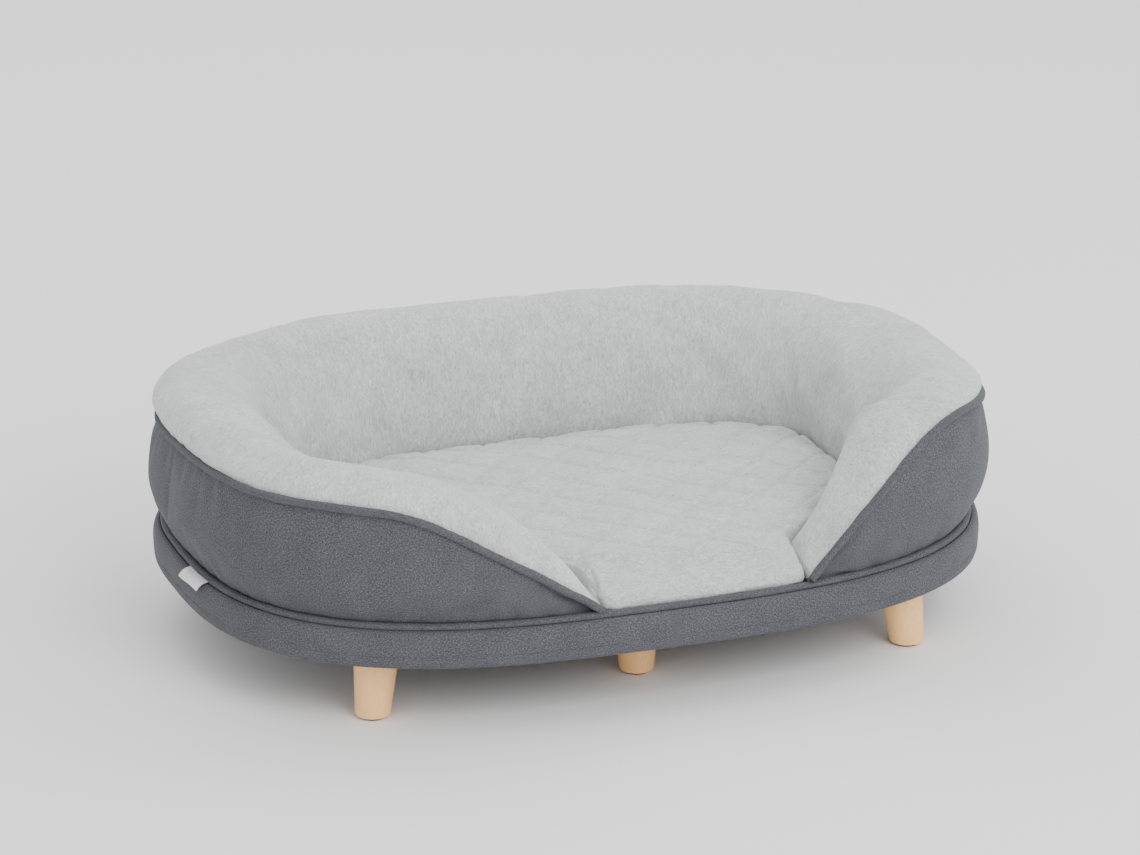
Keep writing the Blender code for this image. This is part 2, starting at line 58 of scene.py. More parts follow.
# the plan edge, from the front middle round by the left, back and right
def edgeLine(samples=4800):
    angle = np.linspace(0, 2 * math.pi, samples + 1)[:-1]
    c, s = -np.sin(angle), -np.cos(angle)
    power = 2 / plan["roundness"]
    depth = np.where(s < 0, plan["frontDepth"], plan["backDepth"])
    xy = np.stack([plan["halfLength"] * np.sign(c) * np.abs(c) ** power,
                   depth * np.sign(s) * np.abs(s) ** power], 1)
    step = np.linalg.norm(np.roll(xy, -1, 0) - xy, axis=1)
    dist = np.concatenate([[0], np.cumsum(step)])
    even = np.linspace(0, dist[-1], samples + 1)[:-1]
    closed = np.vstack([xy, xy[:1]])
    xy = np.stack([np.interp(even, dist, closed[:, k]) for k in (0, 1)], 1)
    tangent = np.roll(xy, -3, 0) - np.roll(xy, 3, 0)
    tangent /= np.linalg.norm(tangent, axis=1)[:, None]
    xy[:, 1] += (plan["frontDepth"] - plan["backDepth"]) / 2
    return xy, np.stack([tangent[:, 1], -tangent[:, 0]], 1), even, dist[-1]


edgeXY, edgeIn, edgeDist, edgeLength = edgeLine()


# point and inward direction at distances along the edge
def edgeAt(where):
    where = np.asarray(where) % edgeLength
    grid = np.append(edgeDist, edgeLength)
    xy, inn = [np.stack([np.interp(where, grid, np.append(rows[:, k], rows[0, k])) for k in (0, 1)], 1)
               for rows in (edgeXY, edgeIn)]
    return xy, inn / np.linalg.norm(inn, axis=1)[:, None]


# a table of (distance, value) read as a smooth curve
def smoothCurve(x, points, spread):
    px, py = zip(*points)
    total = np.zeros_like(np.asarray(x, float))
    offsets = np.linspace(-2, 2, 17)
    weights = np.exp(-offsets ** 2)
    for offset, weight in zip(offsets, weights / weights.sum()):
        total += weight * np.interp(np.asarray(x) + offset * spread, px, py)
    return total


# a rounded curve through the points, evenly resampled
def roundedLine(points, count):
    pts = np.asarray(points, float)
    ext = np.vstack([2 * pts[0] - pts[1], pts, 2 * pts[-1] - pts[-2]])
    out = []
    for i in range(len(ext) - 3):
        p0, p1, p2, p3 = ext[i:i + 4]
        t1 = max(np.linalg.norm(p1 - p0), 1e-9) ** 0.5
        t2 = t1 + max(np.linalg.norm(p2 - p1), 1e-9) ** 0.5
        t3 = t2 + max(np.linalg.norm(p3 - p2), 1e-9) ** 0.5
        t = np.linspace(t1, t2, 16, endpoint=False)[:, None]
        a1 = (t1 - t) / t1 * p0 + t / t1 * p1
        a2 = (t2 - t) / (t2 - t1) * p1 + (t - t1) / (t2 - t1) * p2
        a3 = (t3 - t) / (t3 - t2) * p2 + (t - t2) / (t3 - t2) * p3
        b1 = (t2 - t) / t2 * a1 + t / t2 * a2
        b2 = (t3 - t) / (t3 - t1) * a2 + (t - t1) / (t3 - t1) * a3
        out.append((t2 - t) / (t2 - t1) * b1 + (t - t1) / (t2 - t1) * b2)
    out = np.vstack(out + [pts[-1:]])
    dist = runAlong(out)
    want = np.linspace(0, dist[-1], count)
    return np.stack([np.interp(want, dist, out[:, k]) for k in range(out.shape[1])], 1)


def softNoise(pts, size, seed=0.0):
    shift = Vector((seed * 3.7, seed * 1.3, seed * 7.1))
    return np.array([noise.noise(Vector(p) / size + shift) for p in np.asarray(pts).tolist()])


# soft unevenness: layers of (size, seed, height) added up
def lumpsAt(pts, layers):
    return sum(softNoise(pts, size, seed) * height for size, seed, height in layers)


# distance run along a line of points
def runAlong(pts):
    return np.concatenate([[0], np.cumsum(np.linalg.norm(np.diff(pts, axis=0), axis=1))])


def unit(rows):
    return rows / np.maximum(np.linalg.norm(rows, axis=-1), 1e-12)[..., None]


def newPiece(name, verts, faces, uv=None):
    mesh = bpy.data.meshes.new(name)
    mesh.from_pydata(np.asarray(verts).tolist(), [], [tuple(int(k) for k in f) for f in faces])
    mesh.update()
    if uv is not None:
        layer = mesh.uv_layers.new(name="cloth")
        index = np.empty(len(mesh.loops), int)
        mesh.loops.foreach_get("vertex_index", index)
        layer.data.foreach_set("uv", np.asarray(uv)[index].ravel())
    mesh.shade_smooth()
    piece = bpy.data.objects.new(name, mesh)
    bpy.context.scene.collection.objects.link(piece)
    return piece


def gridFaces(rows, columns, wrapRows=False, wrapColumns=False):
    faces = []
    for i in range(rows if wrapRows else rows - 1):
        a, b = i * columns, ((i + 1) % rows) * columns
        for j in range(columns if wrapColumns else columns - 1):
            k = (j + 1) % columns
            faces.append((a + j, a + k, b + k, b + j))
    return faces


def pointsOf(piece, what="co"):
    values = np.empty(len(piece.data.vertices) * 3)
    piece.data.vertices.foreach_get(what, values)
    return values.reshape(-1, 3)


def setPoints(piece, pts):
    piece.data.vertices.foreach_set("co", np.asarray(pts, float).ravel())
    piece.data.update()


def only(piece):
    bpy.ops.object.select_all(action="DESELECT")
    piece.select_set(True)
    bpy.context.view_layer.objects.active = piece


def applyAll(piece):
    only(piece)
    for modifier in list(piece.modifiers):
        bpy.ops.object.modifier_apply(modifier=modifier.name)


def outwards(piece):
    only(piece)
    bpy.ops.object.mode_set(mode="EDIT")
    bpy.ops.mesh.select_all(action="SELECT")
    bpy.ops.mesh.normals_make_consistent(inside=False)
    bpy.ops.object.mode_set(mode="OBJECT")


def subdivide(piece, levels=1):
    modifier = piece.modifiers.new("finer", "SUBSURF")
    modifier.levels = levels
    modifier.render_levels = levels
    applyAll(piece)


# the shared ending of every piece
def finishPiece(piece, material, body, slot, *replaced):
    piece.data.materials.clear()
    piece.data.materials.append(material)
    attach(piece, body)
    if replaced:
        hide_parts(*replaced)
    print("made", piece.name, len(piece.data.polygons), "faces")
    return piece


# fill a soft piece with air as cloth; pinned is one weight a vertex
def swell(piece, pinned, pressure, growth, cap, frames):
    before = pointsOf(piece)
    group = piece.vertex_groups.new(name="pinned")
    for index in np.nonzero(pinned > 0)[0]:
        group.add([int(index)], float(pinned[index]), "REPLACE")
    cloth = piece.modifiers.new("cloth", "CLOTH")
    settings = cloth.settings
    settings.quality = 5
    settings.mass = 0.25
    settings.tension_stiffness = 15
    settings.compression_stiffness = 12
    settings.shear_stiffness = 5
    settings.bending_stiffness = 0.6
    settings.shrink_min = -growth
    settings.use_pressure = True
    settings.uniform_pressure_force = pressure
    settings.effector_weights.gravity = 0
    settings.vertex_group_mass = "pinned"
    cloth.collision_settings.use_collision = False
    cloth.collision_settings.use_self_collision = False
    for frameNumber in range(1, frames + 1):
        bpy.context.scene.frame_set(frameNumber)
    applyAll(piece)
    bpy.context.scene.frame_set(1)
    moved = pointsOf(piece) - before
    length = np.linalg.norm(moved, axis=1)[:, None]
    print("swelled", piece.name, "by up to", round(float(length.max()) * 1000, 1), "mm")
    setPoints(piece, before + moved * np.minimum(1, cap / np.maximum(length, 1e-9)))
    piece.vertex_groups.clear()


class NodeKit:

    def __init__(self, name, color, roughness, metallic=0.0, sheen=0.0, sheenTint=None):
        self.material = bpy.data.materials.new(name)
        self.material.use_nodes = True
        self.tree = self.material.node_tree
        self.shader = self.tree.nodes["Principled BSDF"]
        self.shader.inputs["Base Color"].default_value = (*color, 1)
        self.shader.inputs["Roughness"].default_value = roughness
        self.shader.inputs["Metallic"].default_value = metallic
        self.shader.inputs["Sheen Weight"].default_value = sheen
        self.shader.inputs["Sheen Roughness"].default_value = 0.5
        if sheenTint:
            self.shader.inputs["Sheen Tint"].default_value = (*sheenTint, 1)
        self.material.diffuse_color = (*color, 1)

    def link(self, source, target):
        self.tree.links.new(source, target)

    def put(self, socket, value):
        if isinstance(value, bpy.types.NodeSocket):
            self.link(value, socket)
        else:
            socket.default_value = value

    def coords(self):
        return self.tree.nodes.new("ShaderNodeTexCoord").outputs["Object"]

    def uv(self):
        node = self.tree.nodes.new("ShaderNodeUVMap")
        node.uv_map = "cloth"
        return node.outputs[0]

    def mapping(self, vector, scale=(1, 1, 1), rotation=(0, 0, 0)):
        node = self.tree.nodes.new("ShaderNodeMapping")
        self.link(vector, node.inputs["Vector"])
        node.inputs["Scale"].default_value = scale
        node.inputs["Rotation"].default_value = rotation
        return node.outputs[0]

    def noise(self, vector, scale, detail=3, roughness=0.55, distortion=0.0):
        node = self.tree.nodes.new("ShaderNodeTexNoise")
        self.link(vector, node.inputs["Vector"])
        node.inputs["Scale"].default_value = scale
        node.inputs["Detail"].default_value = detail
        node.inputs["Roughness"].default_value = roughness
        node.inputs["Distortion"].default_value = distortion
        return node.outputs["Fac"]

    def wave(self, vector, scale, direction="X", distortion=0.0, detail=1.0):
        node = self.tree.nodes.new("ShaderNodeTexWave")
        node.bands_direction = direction
        self.link(vector, node.inputs["Vector"])
        node.inputs["Scale"].default_value = scale
        node.inputs["Distortion"].default_value = distortion
        node.inputs["Detail"].default_value = detail
        return node.outputs["Fac"]

    def maths(self, operation, a, b=0.5):
        node = self.tree.nodes.new("ShaderNodeMath")
        node.operation = operation
        self.put(node.inputs[0], a)
        self.put(node.inputs[1], b)
        return node.outputs[0]

    def ramp(self, value, stops):
        node = self.tree.nodes.new("ShaderNodeValToRGB")
        self.link(value, node.inputs["Fac"])
        elements = node.color_ramp.elements
        while len(elements) < len(stops):
            elements.new(0.5)
        for element, (place, color) in zip(elements, stops):
            element.position = place
            element.color = (*color, 1) if len(color) == 3 else color
        return node.outputs["Color"]

    def mix(self, factor, a, b, blend="MIX"):
        node = self.tree.nodes.new("ShaderNodeMix")
        node.data_type = "RGBA"
        node.blend_type = blend
        self.put(node.inputs["Factor"], factor)
        self.put(node.inputs["A"], a if isinstance(a, bpy.types.NodeSocket) else (*a, 1))
        self.put(node.inputs["B"], b if isinstance(b, bpy.types.NodeSocket) else (*b, 1))
        return node.outputs["Result"]

    def bump(self, height, distance, strength=1.0):
        node = self.tree.nodes.new("ShaderNodeBump")
        node.inputs["Strength"].default_value = strength
        node.inputs["Distance"].default_value = distance
        self.link(height, node.inputs["Height"])
        previous = self.shader.inputs["Normal"]
        if previous.is_linked:
            self.link(previous.links[0].from_socket, node.inputs["Normal"])
        self.link(node.outputs[0], previous)

    def color(self, socket):
        self.link(socket, self.shader.inputs["Base Color"])

    def rough(self, socket, low, high):
        node = self.tree.nodes.new("ShaderNodeMapRange")
        self.link(socket, node.inputs["Value"])
        node.inputs["To Min"].default_value = low
        node.inputs["To Max"].default_value = high
        self.link(node.outputs[0], self.shader.inputs["Roughness"])


heatherColors = {
    "dark": (0.027, 0.028, 0.035),
    "middle": (0.063, 0.064, 0.075),
    "light": (0.138, 0.140, 0.158),
    "threadWaves": 45.0,
}


def heatherCloth(name):
    m = NodeKit(name, heatherColors["middle"], 0.93, sheen=0.04)
    where = m.uv()
    across = m.noise(m.mapping(where, (0.28, 1, 1)), 1500, 2, 0.6)
    upright = m.noise(m.mapping(where, (1, 0.28, 1)), 1500, 2, 0.6)
    slub = m.noise(m.mapping(where, (0.8, 1, 1)), 560, 4, 0.75)
    cloudy = m.noise(m.coords(), 30, 3, 0.55)
    yarn = m.maths("ADD", m.maths("MULTIPLY", across, 0.5), m.maths("MULTIPLY", upright, 0.5))
    both = m.maths("ADD", m.maths("MULTIPLY", yarn, 0.6), m.maths("MULTIPLY", slub, 0.4))
    color = m.ramp(both, [(0.42, heatherColors["dark"]), (0.5, heatherColors["middle"]),
                          (0.58, heatherColors["light"])])
    # painted sheen and shade: random cloudy patches, a little lighter and darker, multiplied into the cloth
    # colour
    paintedSheenAndShade = m.ramp(cloudy, [(0.3, (0.89, 0.89, 0.895)), (0.7, (1.09, 1.09, 1.08))])
    m.color(m.mix(1.0, color, paintedSheenAndShade, "MULTIPLY"))
    warp = m.wave(where, heatherColors["threadWaves"], "X", 0.8)
    weft = m.wave(where, heatherColors["threadWaves"], "Y", 0.8)
    m.bump(m.maths("MAXIMUM", warp, weft), 0.0004, 0.30)
    m.bump(yarn, 0.0003, 0.35)
    m.rough(cloudy, 0.88, 0.98)
    return m.material


# fibres that lie one way in drifts, gathered into tufts
def plushCloth(name, along=(1.0, 0.34), tint=(1, 1, 1), ownUv=True):
    base = np.array([0.585, 0.605, 0.600]) * np.array(tint)
    m = NodeKit(name, tuple(base), 0.97, sheen=0.55, sheenTint=(0.95, 0.97, 0.98))
    where = m.uv() if ownUv else m.coords()
    drift = m.noise(where, 9, 3, 0.55)
    bent, added = [m.tree.nodes.new("ShaderNodeVectorMath") for _ in range(2)]
    bent.operation, added.operation = "SCALE", "ADD"
    m.link(drift, bent.inputs[0])
    bent.inputs["Scale"].default_value = 0.035
    m.link(where, added.inputs[0])
    m.link(bent.outputs[0], added.inputs[1])
    lie = m.mapping(added.outputs[0], (*along, 1), (0, 0, 0.5))
    fibre = m.noise(lie, 560, 3, 0.7, 0.4)
    tuft = m.noise(lie, 210, 3, 0.6, 0.8)
    patch = m.noise(m.coords(), 15, 4, 0.6)
    color = m.ramp(fibre, [(0.28, tuple(base * 0.62)), (0.52, tuple(base)),
                           (0.75, tuple(np.minimum(base * 1.28, 1)))])
    tuftShade = m.ramp(tuft, [(0.3, (0.83, 0.83, 0.825)), (0.62, (1.06, 1.06, 1.06))])
    patchShade = m.ramp(patch, [(0.32, (0.90, 0.90, 0.89)), (0.66, (1.04, 1.04, 1.045))])
    m.color(m.mix(1.0, m.mix(1.0, color, tuftShade, "MULTIPLY"), patchShade, "MULTIPLY"))
    m.bump(tuft, 0.0028, 0.65)
    m.bump(fibre, 0.0013, 0.85)
    return m.material


def beechWood(name, tint=1.0, figure=1.0):
    light, dark = [tuple(c * tint for c in color) for color in ((1.0, 0.575, 0.245), (0.96, 0.52, 0.205))]
    m = NodeKit(name, light, 0.42)
    m.shader.inputs["Coat Weight"].default_value = 0.22
    m.shader.inputs["Coat Roughness"].default_value = 0.28
    where = m.coords()
    wander = m.noise(m.mapping(where, (9, 9, 1.4)), 2.2, 2, 0.5)
    rings = m.mapping(where, (1, 1, 0.055))
    grain = m.noise(rings, 260, 4, 0.62, 0.6)
    broad = m.noise(m.mapping(where, (1, 1, 0.09)), 42, 3, 0.55, 1.2)
    flecks = m.noise(m.mapping(where, (1, 1, 0.16)), 900, 1, 0.5)
    mixed = m.maths("ADD", m.maths("MULTIPLY", grain, 0.5), m.maths("MULTIPLY", broad, 0.5))
    mixed = m.maths("ADD", m.maths("MULTIPLY", mixed, 0.85), m.maths("MULTIPLY", wander, 0.15))
    color = m.ramp(mixed, [(0.34, dark), (0.5, light), (0.7, tuple(min(1, c * 1.13) for c in light))])
    fleck = m.ramp(flecks, [(0.60, (1, 1, 1)), (0.70, (0.84, 0.78, 0.72))])
    m.color(m.mix(0.7 * figure, color, m.mix(1.0, color, fleck, "MULTIPLY")))
    m.bump(grain, 0.0002, 0.35)
    m.rough(grain, 0.36, 0.5)
    return m.material


def plyWood(name):
    m = NodeKit(name, (0.55, 0.40, 0.25), 0.7)
    where = m.coords()
    grain = m.noise(m.mapping(where, (0.08, 1, 1)), 140, 4, 0.6, 0.8)
    plies = m.wave(where, 330, "Z", 0.6)
    color = m.ramp(grain, [(0.3, (0.42, 0.29, 0.17)), (0.7, (0.62, 0.46, 0.30))])
    m.color(m.mix(0.35, color, m.ramp(plies, [(0.2, (0.40, 0.27, 0.16)), (0.8, (0.62, 0.46, 0.30))])))
    m.bump(grain, 0.0002, 0.4)
    return m.material


def platedSteel(name):
    m = NodeKit(name, (0.52, 0.53, 0.55), 0.34, metallic=1.0)
    spots = m.noise(m.coords(), 260, 3, 0.6)
    m.color(m.ramp(spots, [(0.3, (0.44, 0.45, 0.47)), (0.7, (0.60, 0.61, 0.62))]))
    m.bump(spots, 0.0001, 0.3)
    m.rough(spots, 0.26, 0.42)
    return m.material


def liningCloth(name, color=(0.022, 0.022, 0.024)):
    m = NodeKit(name, color, 0.9)
    where = m.coords()
    dots = m.tree.nodes.new("ShaderNodeTexVoronoi")
    dots.inputs["Scale"].default_value = 420
    m.link(where, dots.inputs["Vector"])
    fibres = m.noise(where, 480, 3, 0.7)
    m.color(m.ramp(fibres, [(0.3, tuple(c * 0.7 for c in color)), (0.7, tuple(c * 1.5 for c in color))]))
    m.bump(dots.outputs["Distance"], 0.0004, 0.5)
    return m.material


def feltPad(name):
    m = NodeKit(name, (0.045, 0.043, 0.042), 0.98, sheen=0.3)
    fibres = m.noise(m.coords(), 900, 3, 0.7)
    m.color(m.ramp(fibres, [(0.3, (0.03, 0.029, 0.028)), (0.7, (0.075, 0.072, 0.07))]))
    m.bump(fibres, 0.0004, 0.7)
    return m.material


def zipCoil(name):
    m = NodeKit(name, (0.10, 0.102, 0.11), 0.6)
    ribs = m.noise(m.coords(), 700, 2, 0.6)
    m.color(m.ramp(ribs, [(0.3, (0.07, 0.072, 0.08)), (0.7, (0.14, 0.142, 0.15))]))
    m.bump(ribs, 0.0002, 0.5)
    return m.material


def tagTape(name):
    m = NodeKit(name, (0.80, 0.80, 0.78), 0.55, sheen=0.2)
    where = m.uv()
    ribs = m.wave(where, 420, "Y", 0.5)
    worn = m.noise(m.coords(), 90, 3, 0.6)
    m.color(m.ramp(worn, [(0.3, (0.72, 0.72, 0.70)), (0.7, (0.84, 0.84, 0.82))]))
    m.bump(ribs, 0.0002, 0.3)
    return m.material


view = {
    "place": (-2.0508, -5.6584, 2.3755),
    "aim": (0.0351, 0.1051, 0.2061),
    "lens": 160.7,
    "sensor": 36,
}
studio = {
    "floorSize": 16,
    "floorColor": (0.95, 0.95, 0.95),
    "skyStrength": 1.20,
    "lampAim": (0, 0, 0.15),
}
lamps = {
    "keyLamp": {"place": (0.7, -3.6, 2.7), "size": 2.4, "power": 112},
    "sideLamp": {"place": (2.8, 0.4, 2.8), "size": 2.4, "power": 30},
    "backLamp": {"place": (-0.4, 2.8, 3.2), "size": 2.8, "power": 36},
}


def makeStage():
    camera = bpy.data.objects.new("viewCamera", bpy.data.cameras.new("viewCamera"))
    bpy.context.scene.collection.objects.link(camera)
    camera.location = view["place"]
    aim = Vector(view["aim"]) - Vector(view["place"])
    camera.rotation_euler = aim.to_track_quat("-Z", "Y").to_euler()
    camera.data.lens = view["lens"]
    camera.data.sensor_width = view["sensor"]
    bpy.context.scene.camera = camera

    bpy.ops.mesh.primitive_plane_add(size=studio["floorSize"])
    floor = bpy.context.active_object
    floor.name = "paleFloor"
    floor.data.materials.append(NodeKit("paleFloor", studio["floorColor"], 0.9).material)

    world = bpy.data.worlds.new("studio")
    world.use_nodes = True
    sky = world.node_tree.nodes["Background"]
    sky.inputs["Color"].default_value = (1, 1, 1, 1)
    sky.inputs["Strength"].default_value = studio["skyStrength"]
    bpy.context.scene.world = world
    for name, lampData in lamps.items():
        lamp = bpy.data.objects.new(name, bpy.data.lights.new(name, "AREA"))
        bpy.context.scene.collection.objects.link(lamp)
        lamp.location = lampData["place"]
        aim = Vector(studio["lampAim"]) - Vector(lampData["place"])
        lamp.rotation_euler = aim.to_track_quat("-Z", "Y").to_euler()
        lamp.data.size = lampData["size"]
        lamp.data.energy = lampData["power"]
    print("stage ready")


skirt = {
    "stations": 420,
    "thickness": 0.0016,
    "seamZ": 0.0985,
    "seamDepth": 0.0010,
    "seamWidth": 0.0011,
    "pullDepth": 0.00035,  # small pulls in the cloth beside the seam
    "pullSpread": 0.0045,
    "pullPitch": 0.0062,
    "lumps": ((0.085, 2, 0.0011), (0.022, 5, 0.0004)),
    # (inset from the edge, height): underside, padded side, rounded shoulder,
    # notch for the piping, top flange
    "profile": ((.0310, .0842), (.0200, .0840), (.0090, .0839), (.0036, .0845), (.0010, .0866),
                (.0000, .0905), (-.0006, .0955), (-.0008, .0985), (-.0010, .1040), (-.0012, .1110),
                (-.0008, .1175), (.0004, .1235), (.0028, .1283), (.0058, .1307), (.0084, .1306),
                (.0093, .1288), (.0105, .1275), (.0136, .1271), (.0168, .1276), (.0180, .1292),
                (.0187, .1320), (.0210, .1327), (.0300, .1327), (.0400, .1327)),
    "profilePoints": 76,
    "sideFrom": 0.0865,    # the padded side's heights and its largest inset
    "sideTo": 0.1315,
    "sideInset": 0.008,
}


# sections of (inset, z) set along the plan edge
def sweepSections(stations, sections):
    xy, inn = edgeAt(stations)
    rows = np.empty((len(stations), sections.shape[1], 3))
    for k in (0, 1):
        rows[:, :, k] = xy[:, None, k] + inn[:, None, k] * sections[:, :, 0]
    rows[:, :, 2] = sections[:, :, 1]
    return rows, inn


def makeSkirt(cloth):
    line = roundedLine(skirt["profile"], skirt["profilePoints"])
    tangent = unit(np.gradient(line, axis=0))
    inside = line + np.stack([tangent[:, 1], -tangent[:, 0]], 1) * skirt["thickness"]
    section = np.vstack([line, inside[::-2]])
    count = skirt["stations"]
    stations = np.linspace(0, edgeLength, count, endpoint=False)
    rows, inn = sweepSections(stations, np.repeat(section[None], count, 0))
    # the padding's fullness, the seam's groove and the small pulls beside it
    face = rows[:, :len(line)]
    z = face[:, :, 2]
    lumps = lumpsAt(face.reshape(-1, 3), skirt["lumps"])
    side = smoothStep((z - skirt["sideFrom"]) / 0.006) * smoothStep((skirt["sideTo"] - z) / 0.005)
    side = side * (line[None, :, 0] < skirt["sideInset"])
    along = stations[:, None]
    pulls = 0.5 + 0.5 * np.sin(along / skirt["pullPitch"] + 2.5 * np.sin(along / 0.051))
    near = np.exp(-((z - skirt["seamZ"]) / skirt["pullSpread"]) ** 2)
    groove = skirt["seamDepth"] * np.exp(-((z - skirt["seamZ"]) / skirt["seamWidth"]) ** 2)
    push = (lumps.reshape(z.shape) - groove - skirt["pullDepth"] * near * pulls) * side
    for k in (0, 1):
        face[:, :, k] -= inn[:, None, k] * push
    around = runAlong(section)
    uv = np.stack(np.broadcast_arrays(stations[:, None], around[None]), 2).reshape(-1, 2)
    piece = newPiece("baseSkirt", rows.reshape(-1, 3), gridFaces(count, len(section), True, True), uv)
    outwards(piece)
    return finishPiece(piece, cloth, "bed", "heather_cloth", "base_cover", "edge_foam")


cord = {
    "sides": 14,
    "uneven": 0.045,       # share of the radius
    "twillDepth": 0.00022,
    "twillPitch": 0.0012,
}


# cloth-covered cord along a line of centres
def coveredCord(name, centres, sideways, radii, closed, sides=cord["sides"]):
    count = len(centres)
    ahead = np.roll(centres, -1, 0) - np.roll(centres, 1, 0)
    if not closed:
        ahead[0], ahead[-1] = centres[1] - centres[0], centres[-1] - centres[-2]
    ahead = unit(ahead)
    sideways = unit(sideways - ahead * np.sum(sideways * ahead, axis=1)[:, None])
    up = np.cross(ahead, sideways)
    length = runAlong(centres)
    angle = np.linspace(0, 2 * math.pi, sides, endpoint=False)
    uneven = 1 + cord["uneven"] * np.sin(length / 0.013 + 1.7 * np.sin(length / 0.037))[:, None]
    twill = cord["twillDepth"] * np.sin(length[:, None] / cord["twillPitch"] + angle[None] * 2)
    radius = radii[:, None] * uneven + twill
    rows = centres[:, None] + radius[:, :, None] * (np.cos(angle)[None, :, None] * sideways[:, None]
                                                    + np.sin(angle)[None, :, None] * up[:, None])
    uv = np.stack(np.broadcast_arrays(length[:, None], angle[None] * float(radii.mean())), 2).reshape(-1, 2)
    faces = gridFaces(count, sides, closed, True)
    if not closed:
        faces += [tuple(range(sides)), tuple(reversed(range((count - 1) * sides, count * sides)))]
    piece = newPiece(name, rows.reshape(-1, 3), faces, uv)
    outwards(piece)
    return piece


# one stitch as rings of thread: (place along it, width, height over the cloth)
stitchRings = ((-0.5, 0.3, -0.6), (-0.34, 0.9, 0.2), (0.34, 0.9, 0.2), (0.5, 0.3, -0.6))


# a row of short sewn stitches: bits of thread sunk into the cloth
def stitchRow(name, centres, outward, pitch, stitchLength, radius):
    dist = runAlong(centres)
    middles = np.arange(pitch, dist[-1] - pitch, pitch)
    at = np.stack([np.interp(middles, dist, centres[:, k]) for k in range(3)], 1)
    ahead = unit(np.stack([np.interp(middles + .001, dist, centres[:, k])
                           - np.interp(middles - .001, dist, centres[:, k]) for k in range(3)], 1))
    out = unit(np.stack([np.interp(middles, dist, outward[:, k]) for k in range(3)], 1))
    across = np.cross(ahead, out)
    verts, faces = [], []
    angles = np.linspace(0, 2 * math.pi, 6, endpoint=False)
    for i in range(len(middles)):
        start = len(verts)
        for share, width, rise in stitchRings:
            centre = at[i] + ahead[i] * share * stitchLength + out[i] * rise * radius
            for angle in angles:
                turn = math.cos(angle) * across[i] + math.sin(angle) * out[i]
                verts.append(centre + radius * width * turn)
        for ring in range(3):
            a, b = start + ring * 6, start + ring * 6 + 6
            faces += [(a + k, a + (k + 1) % 6, b + (k + 1) % 6, b + k) for k in range(6)]
        faces += [tuple(start + k for k in reversed(range(6))), tuple(start + 18 + k for k in range(6))]
    piece = newPiece(name, verts, faces)
    outwards(piece)
    return piece


basePiping = {
    "stations": 620,
    "inset": 0.0136,
    "z": 0.1335,
    "radius": 0.0050,
    "stitchInset": 0.0070,
    "stitchZ": 0.1311,
    "sides": 16,
    "stitch": (.0044, .0032, .0004),       # pitch, length, thread radius
    "hemStitch": (.0046, .0034, .0004),
}


def makeBasePiping(cloth, thread):
    count = basePiping["stations"]
    stations = np.linspace(0, edgeLength, count, endpoint=False)
    xy, inn = edgeAt(stations)
    centres = np.column_stack([xy + inn * basePiping["inset"], np.full(count, basePiping["z"])])
    sideways = np.column_stack([-inn, np.zeros(count)])
    radii = np.full(count, basePiping["radius"])
    piece = coveredCord("basePiping", centres, sideways, radii, True, basePiping["sides"])
    finishPiece(piece, cloth, "bed", "heather_cloth", "base_welt")
    sewn = np.column_stack([xy + inn * basePiping["stitchInset"], np.full(count, basePiping["stitchZ"])])
    upOut = np.column_stack([-inn * 0.5, np.full(count, 0.85)])
    hem = np.column_stack([xy, np.full(count, skirt["seamZ"])])
    for name, line, out, sizes in (("pipingStitches", sewn, upOut, basePiping["stitch"]),
                                   ("hemStitches", hem, sideways, basePiping["hemStitch"])):
        piece = stitchRow(name, np.vstack([line, line[:1]]), np.vstack([out, out[:1]]), *sizes)
        finishPiece(piece, thread, "bed", "heather_cloth")


